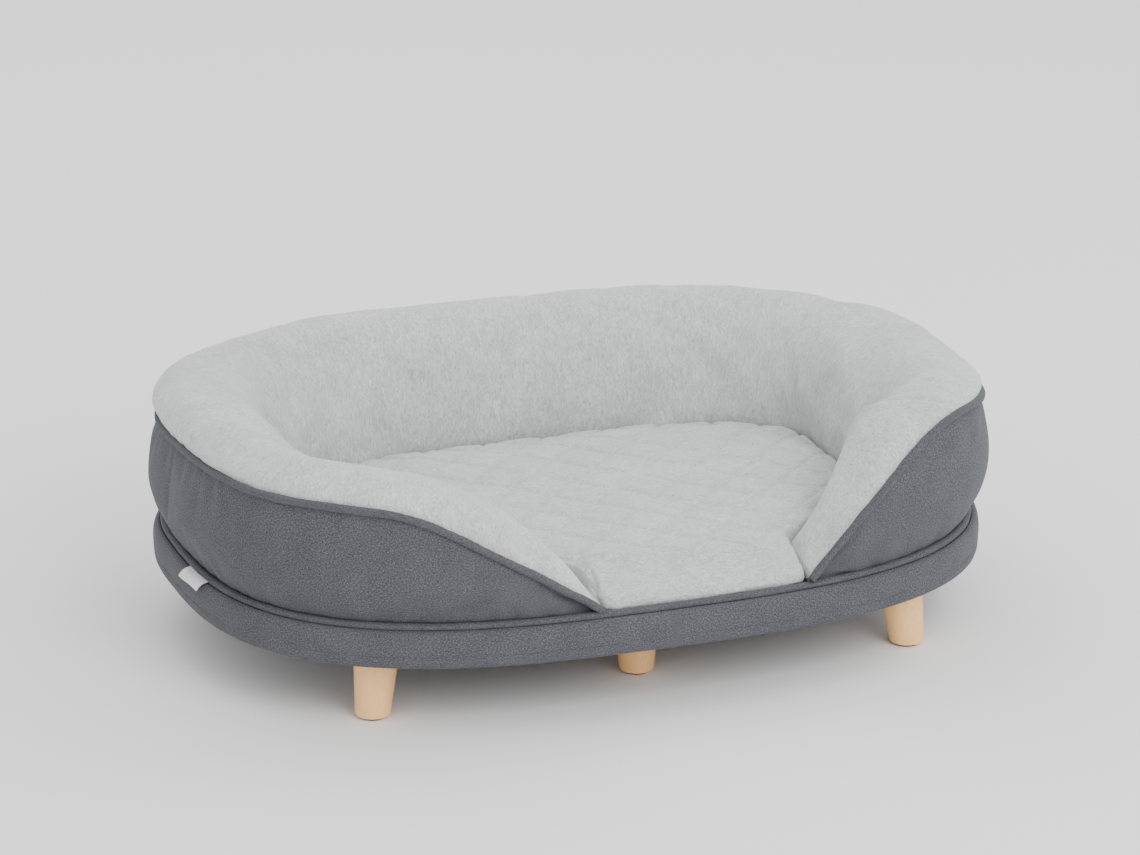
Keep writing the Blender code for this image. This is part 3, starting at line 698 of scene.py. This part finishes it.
bolster = {
    "stations": 300,
    "sideColumns": 22,     # dark outer side
    "plushColumns": 44,
    "underColumns": 10,
    "foot": 0.1329,
    "footInset": 0.0205,
    "pipingRadius": 0.0049,
    "pipingRaise": 0.55,   # share of that radius by which the cord stands off the seam
    # inset of the seam: less where the side is full and at the right, more round the back
    "pipingInset": 0.0150,
    "fullInset": -0.0118,
    "rightInset": -0.006,
    "backInset": 0.009,
    "overhang": 0.014,     # round the back the plush bulges over the piping by this
    "fullRise": 0.12,      # height of the side from which it is fully rounded
    "bulge": -0.0010,
    "rightBulge": 0.0085,
    "blendFrom": 0.62,     # left and right heights blend beyond this distance from the tips
    "tipWidth": 0.78,      # how much of the roll's inner half is left at the tips
    "tipTaper": 0.09,
    "tipCap": 0.004,
    "capRings": ((0.82, 0.55), (0.5, 0.9), (0.2, 1.0)),
    "wall": 0.0014,        # thickness of the outer cover
    "drawIn": 0.0030,      # depth of the plush body under it
    "lumps": ((0.060, 3, 0.0016), (0.024, 8, 0.0007)),
    "gatherDepth": 0.0005,
    "gatherPitch": 0.0058,
    # heights against the distance from the nearer tip
    "leftPiping": ((-.02, .1330), (0, .1365), (.012, .1450), (.049, .1705), (.074, .1870), (.098, .2010),
                   (.122, .2150), (.145, .2280), (.168, .2420), (.191, .2545), (.213, .2655), (.235, .2735),
                   (.256, .2790), (.277, .2820), (.340, .2850), (.520, .2840), (.620, .2790), (.780, .2700)),
    "rightPiping": ((-.02, .1330), (0, .1365), (.020, .1600), (.047, .1885), (.076, .2180), (.105, .2445),
                    (.135, .2710), (.168, .2920), (.204, .3040), (.235, .3080), (.270, .3055), (.310, .3005),
                    (.360, .2940), (.430, .2850), (.520, .2765), (.640, .2715), (.780, .2700)),
    "leftCrest": ((-.02, .1380), (0, .1500), (.030, .1870), (.055, .2120), (.103, .2490), (.127, .2655),
                  (.178, .2860), (.218, .2985), (.251, .3050), (.300, .3100), (.520, .3160), (.780, .3210)),
    "rightCrest": ((-.02, .1380), (0, .1460), (.022, .1700), (.046, .1985), (.075, .2300), (.098, .2570),
                   (.122, .2790), (.158, .2995), (.204, .3110), (.240, .3140), (.300, .3130), (.520, .3060),
                   (.780, .3010)),
    "pressure": 1.4,
    "growth": 0.016,
    "cap": 0.008,
    "frames": 10,
    # soft creases over the plush: distance from the left tip (or, below zero, the right one), slant and bow,
    # width and depth, how much lower the plush lies behind it, and its reach across the roll
    "folds": (
        {"at": -.218, "slant": .0875, "bow": -.10, "width": .0105, "depth": .0115, "step": .0060,
         "from": .00, "to": .62},
        {"at": -.305, "slant": .085, "bow": -.16, "width": .0120, "depth": .0080, "step": .0030,
         "from": .04, "to": .60},
        {"at": .560, "slant": -.05, "bow": .05, "width": .012, "depth": .0070, "step": 0,
         "from": .10, "to": .74},
        {"at": .650, "slant": -.04, "bow": .06, "width": .011, "depth": .0064, "step": 0,
         "from": .12, "to": .68},
        {"at": .470, "slant": -.05, "bow": .05, "width": .012, "depth": .0048, "step": 0,
         "from": .16, "to": .74},
        {"at": .745, "slant": -.03, "bow": .05, "width": .012, "depth": .0040, "step": 0,
         "from": .20, "to": .78},
    ),
}


# stations from the left tip round the back to the right tip
def bolsterFrames(count):
    front = edgeXY[:, 1] < 0
    first = edgeDist[np.nonzero(front & (edgeXY[:, 0] <= plan["leftTip"]))[0][0]]
    last = edgeDist[np.nonzero(front & (edgeXY[:, 0] >= plan["rightTip"]))[0][-1]]
    total = last - first
    share = np.linspace(0, 1, count)
    distance = share * total
    xy, inn = edgeAt(first + distance)
    for fromTip, side in ((distance, -1), (total - distance, 1)):
        blend = smoothStep(1 - fromTip / plan["tipTurn"])[:, None]
        inn = inn * (1 - blend) + np.array([side * plan["tipLean"], 1.0]) * blend
    return distance, total, xy, unit(inn)


def bolsterSections(distance, total):
    middle = smoothStep((distance - bolster["blendFrom"]) / (total - 2 * bolster["blendFrom"]))
    heights = {}
    for kind in ("Piping", "Crest"):
        left = smoothCurve(distance, bolster["left" + kind], 0.008)
        right = smoothCurve(total - distance, bolster["right" + kind], 0.008)
        heights[kind] = left * (1 - middle) + right * middle
    foot, footInset = bolster["foot"], bolster["footInset"]
    sections = []
    for s, p, c in zip(distance, heights["Piping"], heights["Crest"]):
        rise, top, height = p - foot, c - p, c - foot
        full = float(smoothStep(rise / bolster["fullRise"]))
        toRight = float(smoothStep((s - total / 2) / 0.45) * smoothStep((total - s) / 0.35))
        atBack = float(smoothStep((total - s - 0.245) / 0.20) * smoothStep((s - 0.42) / 0.16))
        bulge = (bolster["bulge"] + bolster["rightBulge"] * toRight) * full
        seamInset = (bolster["pipingInset"] + bolster["fullInset"] * full
                     + bolster["rightInset"] * toRight * full + bolster["backInset"] * atBack)
        over = bolster["overhang"] * atBack
        low = footInset * (1 - full)
        side = [(footInset, foot), (footInset - 0.0030 * full - 0.0005, foot + 0.05 * rise),
                (low + 0.0040 * full, foot + 0.19 * rise), (low - bulge * 0.8, foot + 0.38 * rise),
                (low - bulge, foot + 0.58 * rise), (low - bulge * 0.55 + seamInset * 0.3, foot + 0.80 * rise),
                (seamInset, p)]
        plush = [(seamInset, p), (seamInset + 0.0065 - over, p + 0.46 * top),
                 (seamInset + 0.024 - over, p + 0.86 * top),
                 (0.0630, c), (0.0930, c - 0.035 * height), (0.1190, c - 0.13 * height),
                 (0.1380, c - 0.31 * height), (0.1490, c - 0.52 * height), (0.1525, c - 0.74 * height),
                 (0.1525, foot + 0.12 * height), (0.1460, foot)]
        wide = float(smoothStep(min(s, total - s) / bolster["tipTaper"]))
        wide = bolster["tipWidth"] + (1 - bolster["tipWidth"]) * wide
        plush = [(min(d, 0.06) + max(d - 0.06, 0) * wide, z) for d, z in plush]
        under = np.linspace(plush[-1][0], footInset, bolster["underColumns"] + 1)[:-1]
        sections.append(np.vstack([roundedLine(side, bolster["sideColumns"] + 1)[:-1],
                                   roundedLine(plush, bolster["plushColumns"] + 1)[:-1],
                                   np.stack([under, np.full(len(under), foot)], 1)]))
    return np.array(sections)


# the whole roll as one closed body: the rows, then rings that round off each tip
def bolsterBody(rows):
    count, columns = rows.shape[:2]
    faces = gridFaces(count, columns, False, True)
    extra = []
    for end, side in ((0, 1.0), (count - 1, -1.0)):
        ring = rows[end]
        middle = ring.mean(axis=0)
        ahead = np.array([side * bolster["tipCap"], 0, 0])
        base = count * columns + len(extra)
        for share, push in bolster["capRings"]:
            extra.extend(middle + (ring - middle) * share + ahead * push)
        extra.append(middle + ahead)
        rings = [np.arange(columns) + start
                 for start in (end * columns, base, base + columns, base + 2 * columns)]
        for j in range(columns):
            k = (j + 1) % columns
            faces += [(rings[r][j], rings[r][k], rings[r + 1][k], rings[r + 1][j]) for r in range(3)]
            faces.append((rings[3][j], rings[3][k], base + 3 * columns))
    return np.vstack([rows.reshape(-1, 3), np.array(extra)]), faces


# how far the roll's surface moves out or in: the folds, soft lumps and gathers beside the seam
def bolsterRelief(pts, s, column, total):
    seam = bolster["sideColumns"]
    v = (column - seam) / bolster["plushColumns"]
    onPlush = (v >= 0) & (v <= 1)
    onSide = (column > 0) & (column < seam)
    push = np.zeros(len(pts))
    for fold in bolster["folds"]:
        centre = fold["at"] % total + fold["slant"] * (v - 0.25) + fold["bow"] * (v - 0.3) ** 2
        away = (s - centre) / fold["width"]
        reach = smoothStep((v - fold["from"]) / 0.10) * smoothStep((fold["to"] - v) / 0.12)
        swelling = 0.5 * (np.exp(-((away - 1.5) / 1.1) ** 2) + np.exp(-((away + 1.5) / 1.1) ** 2))
        crease = np.exp(-away ** 2 * 3)
        behind = fold["step"] * smoothStep(-away / 1.4) * np.exp(np.minimum(away + 1, 0) / 4)
        push += np.where(onPlush, (fold["depth"] * (swelling - crease) - behind) * reach, 0)
    lumps = lumpsAt(pts, bolster["lumps"])
    fromSeam = smoothStep(np.abs(column - seam) / 3.0)
    gathers = np.sin(s / bolster["gatherPitch"] + 2.2 * np.sin(s / 0.047))
    gathers *= np.exp(-((column - seam - 2.2) / 1.8) ** 2)
    push += np.where(onPlush, lumps * fromSeam + gathers * bolster["gatherDepth"], 0)
    return push + np.where(onSide, lumps * 0.55 * fromSeam, 0)


def makeBolster(cloth, plush):
    distance, total, xy, inn = bolsterFrames(bolster["stations"])
    sections = bolsterSections(distance, total)
    count, columns = sections.shape[:2]
    seam, inner = bolster["sideColumns"], bolster["sideColumns"] + bolster["plushColumns"]
    rows = np.empty((count, columns, 3))
    for k in (0, 1):
        rows[:, :, k] = xy[:, None, k] + inn[:, None, k] * sections[:, :, 0]
    rows[:, :, 2] = sections[:, :, 1]
    verts, faces = bolsterBody(rows)
    body = newPiece("bolsterPlush", verts, faces)
    outwards(body)
    column = np.concatenate([np.tile(np.arange(columns), count), np.full(len(verts) - count * columns, -1)])
    pinned = np.zeros(len(verts))
    pinned[(column == seam) | (column == 0) | (column >= inner) | (column == -1)] = 1.0
    pinned[(column == seam - 1) | (column == seam + 1)] = 0.35
    swell(body, pinned, *(bolster[key] for key in ("pressure", "growth", "cap", "frames")))

    pts, normal = pointsOf(body), pointsOf(body, "normal")
    s = np.zeros(len(verts))
    s[column >= 0] = np.repeat(distance, columns)
    pts = pts + normal * bolsterRelief(pts, s, column, total)[:, None]
    grid = pts[:count * columns].reshape(count, columns, 3)

    # the outer cover is the dark side of the roll, as cloth of its own over the filling
    across = runAlong(rows[count // 2])
    uv = np.stack(np.broadcast_arrays(distance[:, None], across[None]), 2)
    cover = newPiece("bolsterOuterCover", grid[:, :seam + 1].reshape(-1, 3), gridFaces(count, seam + 1),
                     uv[:, :seam + 1].reshape(-1, 2))
    ahead = np.gradient(grid, axis=0)
    wide = np.gradient(grid, axis=1)
    out = unit(np.cross(wide, ahead))
    if np.sum(out[count // 2, seam // 2] * np.append(-inn[count // 2], 0)) < 0:
        out = -out
        cover.data.flip_normals()
    wall = cover.modifiers.new("wall", "SOLIDIFY")
    wall.thickness = bolster["wall"]
    wall.offset = -1
    applyAll(cover)
    subdivide(cover)
    finishPiece(cover, cloth, "bed", "heather_cloth", "bolster_outer_cover")

    # piping over the seam, then the plush body drawn in under the cover
    centres = grid[:, seam] + out[:, seam] * bolster["pipingRadius"] * bolster["pipingRaise"]
    centres, sideways = smoothRuns(centres, out[:, seam])
    radii = np.full(len(centres), bolster["pipingRadius"])
    piping = coveredCord("bolsterPiping", centres, sideways, radii, False)
    finishPiece(piping, cloth, "bed", "heather_cloth", "bolster_welt")

    onSide = (column > 0) & (column < seam)
    drawnIn = smoothStep((seam - column) / 1.5) * smoothStep((column + 1) / 1.5) * onSide
    setPoints(body, pts - normal * (bolster["drawIn"] * drawnIn)[:, None])
    layer = body.data.uv_layers.new(name="cloth")
    allUv = np.vstack([uv.reshape(-1, 2), pts[count * columns:, :2]])
    index = np.empty(len(body.data.loops), int)
    body.data.loops.foreach_get("vertex_index", index)
    layer.data.foreach_set("uv", allUv[index].ravel())
    subdivide(body)
    finishPiece(body, plush, "bed", "plush", "bolster_plush_lining", "bolster_filling", "bolster_base_cloth")
    return grid[:, inner, :2]


# a line and its sideways directions with twice as many points, smoothed
def smoothRuns(centres, sideways):
    places = np.arange(len(centres))
    want = np.linspace(0, len(centres) - 1, len(centres) * 2 - 1)
    out = []
    for rows in (centres, sideways):
        fine = np.stack([np.interp(want, places, rows[:, k]) for k in range(3)], 1)
        for _ in range(6):
            fine[1:-1] = (fine[:-2] + 2 * fine[1:-1] + fine[2:]) / 4
        out.append(fine)
    return out


cushion = {
    "gap": 0.0010,         # to the foot of the roll
    "frontInset": 0.0200,
    "tipGap": 0.0005,
    "planPoints": 260,
    "bottom": 0.1332,
    "top": 0.1610,
    "shoulder": 0.0080,
    "straightBack": 0.2085,
    "voxel": 0.0054,
    "pressure": 4.0,
    "growth": 0.004,
    "cap": 0.0065,
    "frames": 20,
    "quiltPitch": 0.058,   # diamonds, measured square to the channels
    "channelDepth": 0.0029,
    "channelWidth": 0.0034,
    "puff": 0.0018,
    "lumps": ((0.045, 7, 0.0011), (0.016, 9, 0.0005)),
    "crown": 0.0060,
    "waveRise": 0.0060,    # a soft wave across the tongue
    "waveWidth": 0.014,
    "frontDrop": 0.45,     # the tongue thins out to the front edge
    "dropFrom": 0.262,
    "dropOver": 0.080,
}


# closed plan of the cushion: it follows the foot of the roll, straight at the back,
# with a tongue out to the front edge
def cushionPlan(footLine, count):
    left, right = plan["leftTip"] + cushion["tipGap"], plan["rightTip"] - cushion["tipGap"]
    tongue = edgeXY + edgeIn * cushion["frontInset"]
    tongue = tongue[(tongue[:, 1] < 0) & (tongue[:, 0] > left) & (tongue[:, 0] < right)]
    tongue = tongue[np.argsort(-tongue[:, 0])]
    path = np.vstack([tongue, footLine])
    path[:, 1] = np.minimum(path[:, 1], cushion["straightBack"])
    for size, rounds in ((900, 14), (count, 0)):
        closed = np.vstack([path, path[:1]])
        dist = runAlong(closed)
        want = np.linspace(0, dist[-1], size, endpoint=False)
        path = np.stack([np.interp(want, dist, closed[:, k]) for k in (0, 1)], 1)
        for _ in range(rounds):
            path = (np.roll(path, 1, 0) + 2 * path + np.roll(path, -1, 0)) / 4
    tangent = unit(np.roll(path, -2, 0) - np.roll(path, 2, 0))
    return path, np.stack([tangent[:, 1], -tangent[:, 0]], 1)


# how far the quilted top rises or sinks at each point
def quiltRelief(pts, up):
    wander = softNoise(pts * (1, 1, 0), 0.11, 4) * 0.0035
    pitch = cushion["quiltPitch"]
    nearest, waves = np.full(len(pts), 1e9), np.ones(len(pts))
    for side in (1, -1):
        along = (pts[:, 0] + side * pts[:, 1]) / math.sqrt(2) + wander
        offset = np.abs((along / pitch + 0.5) % 1 - 0.5) * pitch
        nearest = np.minimum(nearest, offset)
        waves *= np.abs(np.sin(math.pi * along / pitch)) ** 0.6
    channel = -cushion["channelDepth"] * np.exp(-(nearest / cushion["channelWidth"]) ** 2)
    lumps = lumpsAt(pts, cushion["lumps"])
    crown = cushion["crown"] * smoothStep((0.5 - np.abs(pts[:, 0])) / 0.42)
    fromWave = pts[:, 1] + 0.275 + 0.10 * (pts[:, 0] - 0.02)
    wave = cushion["waveRise"] * np.exp(-(fromWave / cushion["waveWidth"]) ** 2) \
        * smoothStep((0.13 - np.abs(pts[:, 0] - 0.03)) / 0.05)
    return (channel + cushion["puff"] * waves + lumps + wave) * up + crown * up


def makeCushion(plush, footLine):
    count = cushion["planPoints"]
    path, inward = cushionPlan(footLine, count)
    path = path + inward * cushion["gap"] * (path[:, 1:] < cushion["straightBack"] - 0.001)
    shoulder, bottom, top = cushion["shoulder"], cushion["bottom"], cushion["top"]
    rings = [(0.005, bottom), (0.0015, bottom + 0.0015), (0.0, bottom + 0.006)]
    for turn in np.linspace(0, math.pi / 2, 6):
        rings.append((shoulder * (1 - math.cos(turn)), top - shoulder * (1 - math.sin(turn))))
    verts = np.vstack([np.column_stack([path + inward * inset, np.full(count, z)]) for inset, z in rings])
    faces = gridFaces(len(rings), count, False, True)
    faces += [tuple(range(count)), tuple(range((len(rings) - 1) * count, len(rings) * count))]
    piece = newPiece("seatCushion", verts, faces)
    outwards(piece)
    finer = piece.modifiers.new("even", "REMESH")
    finer.mode = "VOXEL"
    finer.voxel_size = cushion["voxel"]
    applyAll(piece)
    z = pointsOf(piece)[:, 2]
    pinned = np.where(z < bottom + 0.008, 1.0, 0.0)
    swell(piece, pinned, *(cushion[key] for key in ("pressure", "growth", "cap", "frames")))
    subdivide(piece)
    pts, normal = pointsOf(piece), pointsOf(piece, "normal")
    up = smoothStep((normal[:, 2] - 0.35) / 0.4) * (pts[:, 2] > bottom + 0.012)
    pts[:, 2] += quiltRelief(pts, up)
    low = cushion["frontDrop"] * smoothStep((-pts[:, 1] - cushion["dropFrom"]) / cushion["dropOver"])
    pts[:, 2] = bottom + (pts[:, 2] - bottom) * (1 - low)
    setPoints(piece, pts)
    piece.data.shade_smooth()
    finishPiece(piece, plush, "cushion", "plush", "cushion_top_cover", "cushion_foam", "cushion_base_cloth")


leg = {
    "sides": 64,
    "height": 0.0846,
    "footRadius": 0.0215,
    "topRadius": 0.0285,
    "gap": 0.0030,         # the felt glide under it
    "rounding": 0.0030,
    "splay": 8,            # degrees, towards the corners
    "middleX": 0.0050,
    "cornerX": 0.3500,     # from the middle leg
    "cornerY": 0.2467,
    "middleY": 0.2187,
}


# one turned leg, then a copy for each place, its top leaned inwards at the corners
def makeLegs(wood):
    height = leg["height"] - leg["gap"]
    bpy.ops.object.select_all(action="DESELECT")
    bpy.ops.mesh.primitive_cone_add(vertices=leg["sides"], radius1=leg["footRadius"],
                                    radius2=leg["topRadius"], depth=height,
                                    location=(0, 0, leg["gap"] + height / 2))
    master = bpy.context.active_object
    bpy.ops.object.transform_apply(location=True, rotation=True, scale=True)
    bpy.ops.object.mode_set(mode="EDIT")
    bpy.ops.mesh.select_all(action="DESELECT")
    bpy.ops.object.mode_set(mode="OBJECT")
    for edge in master.data.edges:
        ends = [master.data.vertices[k].co.z for k in edge.vertices]
        edge.select = max(ends) < leg["gap"] + 0.001
    bpy.ops.object.mode_set(mode="EDIT")
    bpy.ops.mesh.select_mode(type="EDGE")
    bpy.ops.mesh.bevel(offset=leg["rounding"], segments=5, profile=0.5)
    bpy.ops.mesh.select_mode(type="VERT")
    bpy.ops.object.mode_set(mode="OBJECT")
    lean = leg["height"] * math.tan(math.radians(leg["splay"])) / math.sqrt(2)
    for row, side in ((r, s) for r in ("front", "back") for s in ("left", "middle", "right")):
        name = row + side.capitalize() + "Leg"
        piece = bpy.data.objects.new(name, master.data.copy())
        piece.data.name = name
        bpy.context.scene.collection.objects.link(piece)
        toSide = {"left": -1, "middle": 0, "right": 1}[side]
        x = leg["middleX"] + toSide * leg["cornerX"]
        y = (leg["middleY"] if side == "middle" else leg["cornerY"]) * (-1 if row == "front" else 1)
        only(piece)
        bpy.ops.object.mode_set(mode="EDIT")
        bpy.ops.mesh.select_all(action="DESELECT")
        bpy.ops.object.mode_set(mode="OBJECT")
        for vertex in piece.data.vertices:
            vertex.select = vertex.co.z > leg["height"] - 0.001
        bpy.ops.object.mode_set(mode="EDIT")
        if side != "middle":
            bpy.ops.transform.translate(value=(-toSide * lean, -math.copysign(lean, y), 0))
        bpy.ops.mesh.select_all(action="SELECT")
        bpy.ops.transform.translate(value=(x, y, 0))
        bpy.ops.object.mode_set(mode="OBJECT")
        bpy.ops.object.shade_smooth_by_angle(angle=math.radians(35))
        finishPiece(piece, wood, "bed", "leg_wood", f"leg_{row}_{side}")
    bpy.data.objects.remove(master)


tag = {
    "middleY": -0.0520,
    "half": 0.0300,
    "thickness": 0.0007,
    "rows": 25,
    "columns": 18,
    "ripple": 0.0010,
    # (distance outwards from the edge, height): out of the piping seam and down over the shoulder
    "profile": ((-.0085, .1332), (-.0050, .1326), (-.0020, .1320), (.0012, .1306), (.0038, .1286),
                (.0060, .1262), (.0078, .1240)),
}


# a blank folded tag sewn in beside the piping at the left
def makeTag(tape):
    left = np.nonzero((edgeXY[:, 0] < 0) & (edgeXY[:, 1] > tag["middleY"]))[0][0]
    half, count, columns = tag["half"], tag["rows"], tag["columns"]
    along = np.linspace(-half, half, count)
    xy, inn = edgeAt(edgeDist[left] + along)
    line = roundedLine(tag["profile"], columns)
    rows = np.empty((count, columns, 3))
    for k in (0, 1):
        rows[:, :, k] = xy[:, None, k] - inn[:, None, k] * line[None, :, 0]
    ripple = tag["ripple"] * np.sin(np.linspace(0, 5, count))[:, None] * np.linspace(0, 1, columns)[None]
    rows[:, :, 2] = line[None, :, 1] + ripple
    uv = np.stack(np.meshgrid(along, np.linspace(0, .02, columns), indexing="ij"), 2).reshape(-1, 2)
    piece = newPiece("blankTag", rows.reshape(-1, 3), gridFaces(count, columns), uv)
    wall = piece.modifiers.new("wall", "SOLIDIFY")
    wall.thickness = tag["thickness"]
    wall.offset = 0
    applyAll(piece)
    outwards(piece)
    finishPiece(piece, tape, "bed", "tag_tape", "side_label")


# a better material on each CAD node that stays
def finishNodes(materials):
    for name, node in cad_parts.items():
        for start, material in materials.items():
            if name.startswith(start):
                for slot in node.material_slots:
                    slot.material = material


heather = heatherCloth("heatherCloth")
plush = plushCloth("bolsterPlushCloth")
thread = liningCloth("greyThread", (0.105, 0.108, 0.118))
beech = beechWood("beechLegs")
makeStage()
makeSkirt(heather)
makeBasePiping(heather, thread)
footLine = makeBolster(heather, plush)
makeCushion(plushCloth("cushionPlushCloth", (0.5, 1.0), (0.98, 0.985, 0.985), ownUv=False), footLine)
makeLegs(beech)
makeTag(tagTape("blankSatinTape"))
finishNodes({
    "bottom_panel": plyWood("birchPly"),
    "deck_board": plyWood("deckPly"),
    "rim_": plyWood("rimPly"),
    "cross_rail": beechWood("planedRail", 0.82, 1.2),
    "hanger_bolt": platedSteel("zincSteel"),
    "tee_nut": platedSteel("teeNutSteel"),
    "glide_": feltPad("feltGlide"),
    "zip_chain": zipCoil("zipTapeAndCoil"),
    "zip_slider": platedSteel("zipSlider"),
    "zip_pull": platedSteel("zipPull"),
    "deck_cloth": liningCloth("deckLining"),
    "dust_cloth": liningCloth("dustLining"),
})
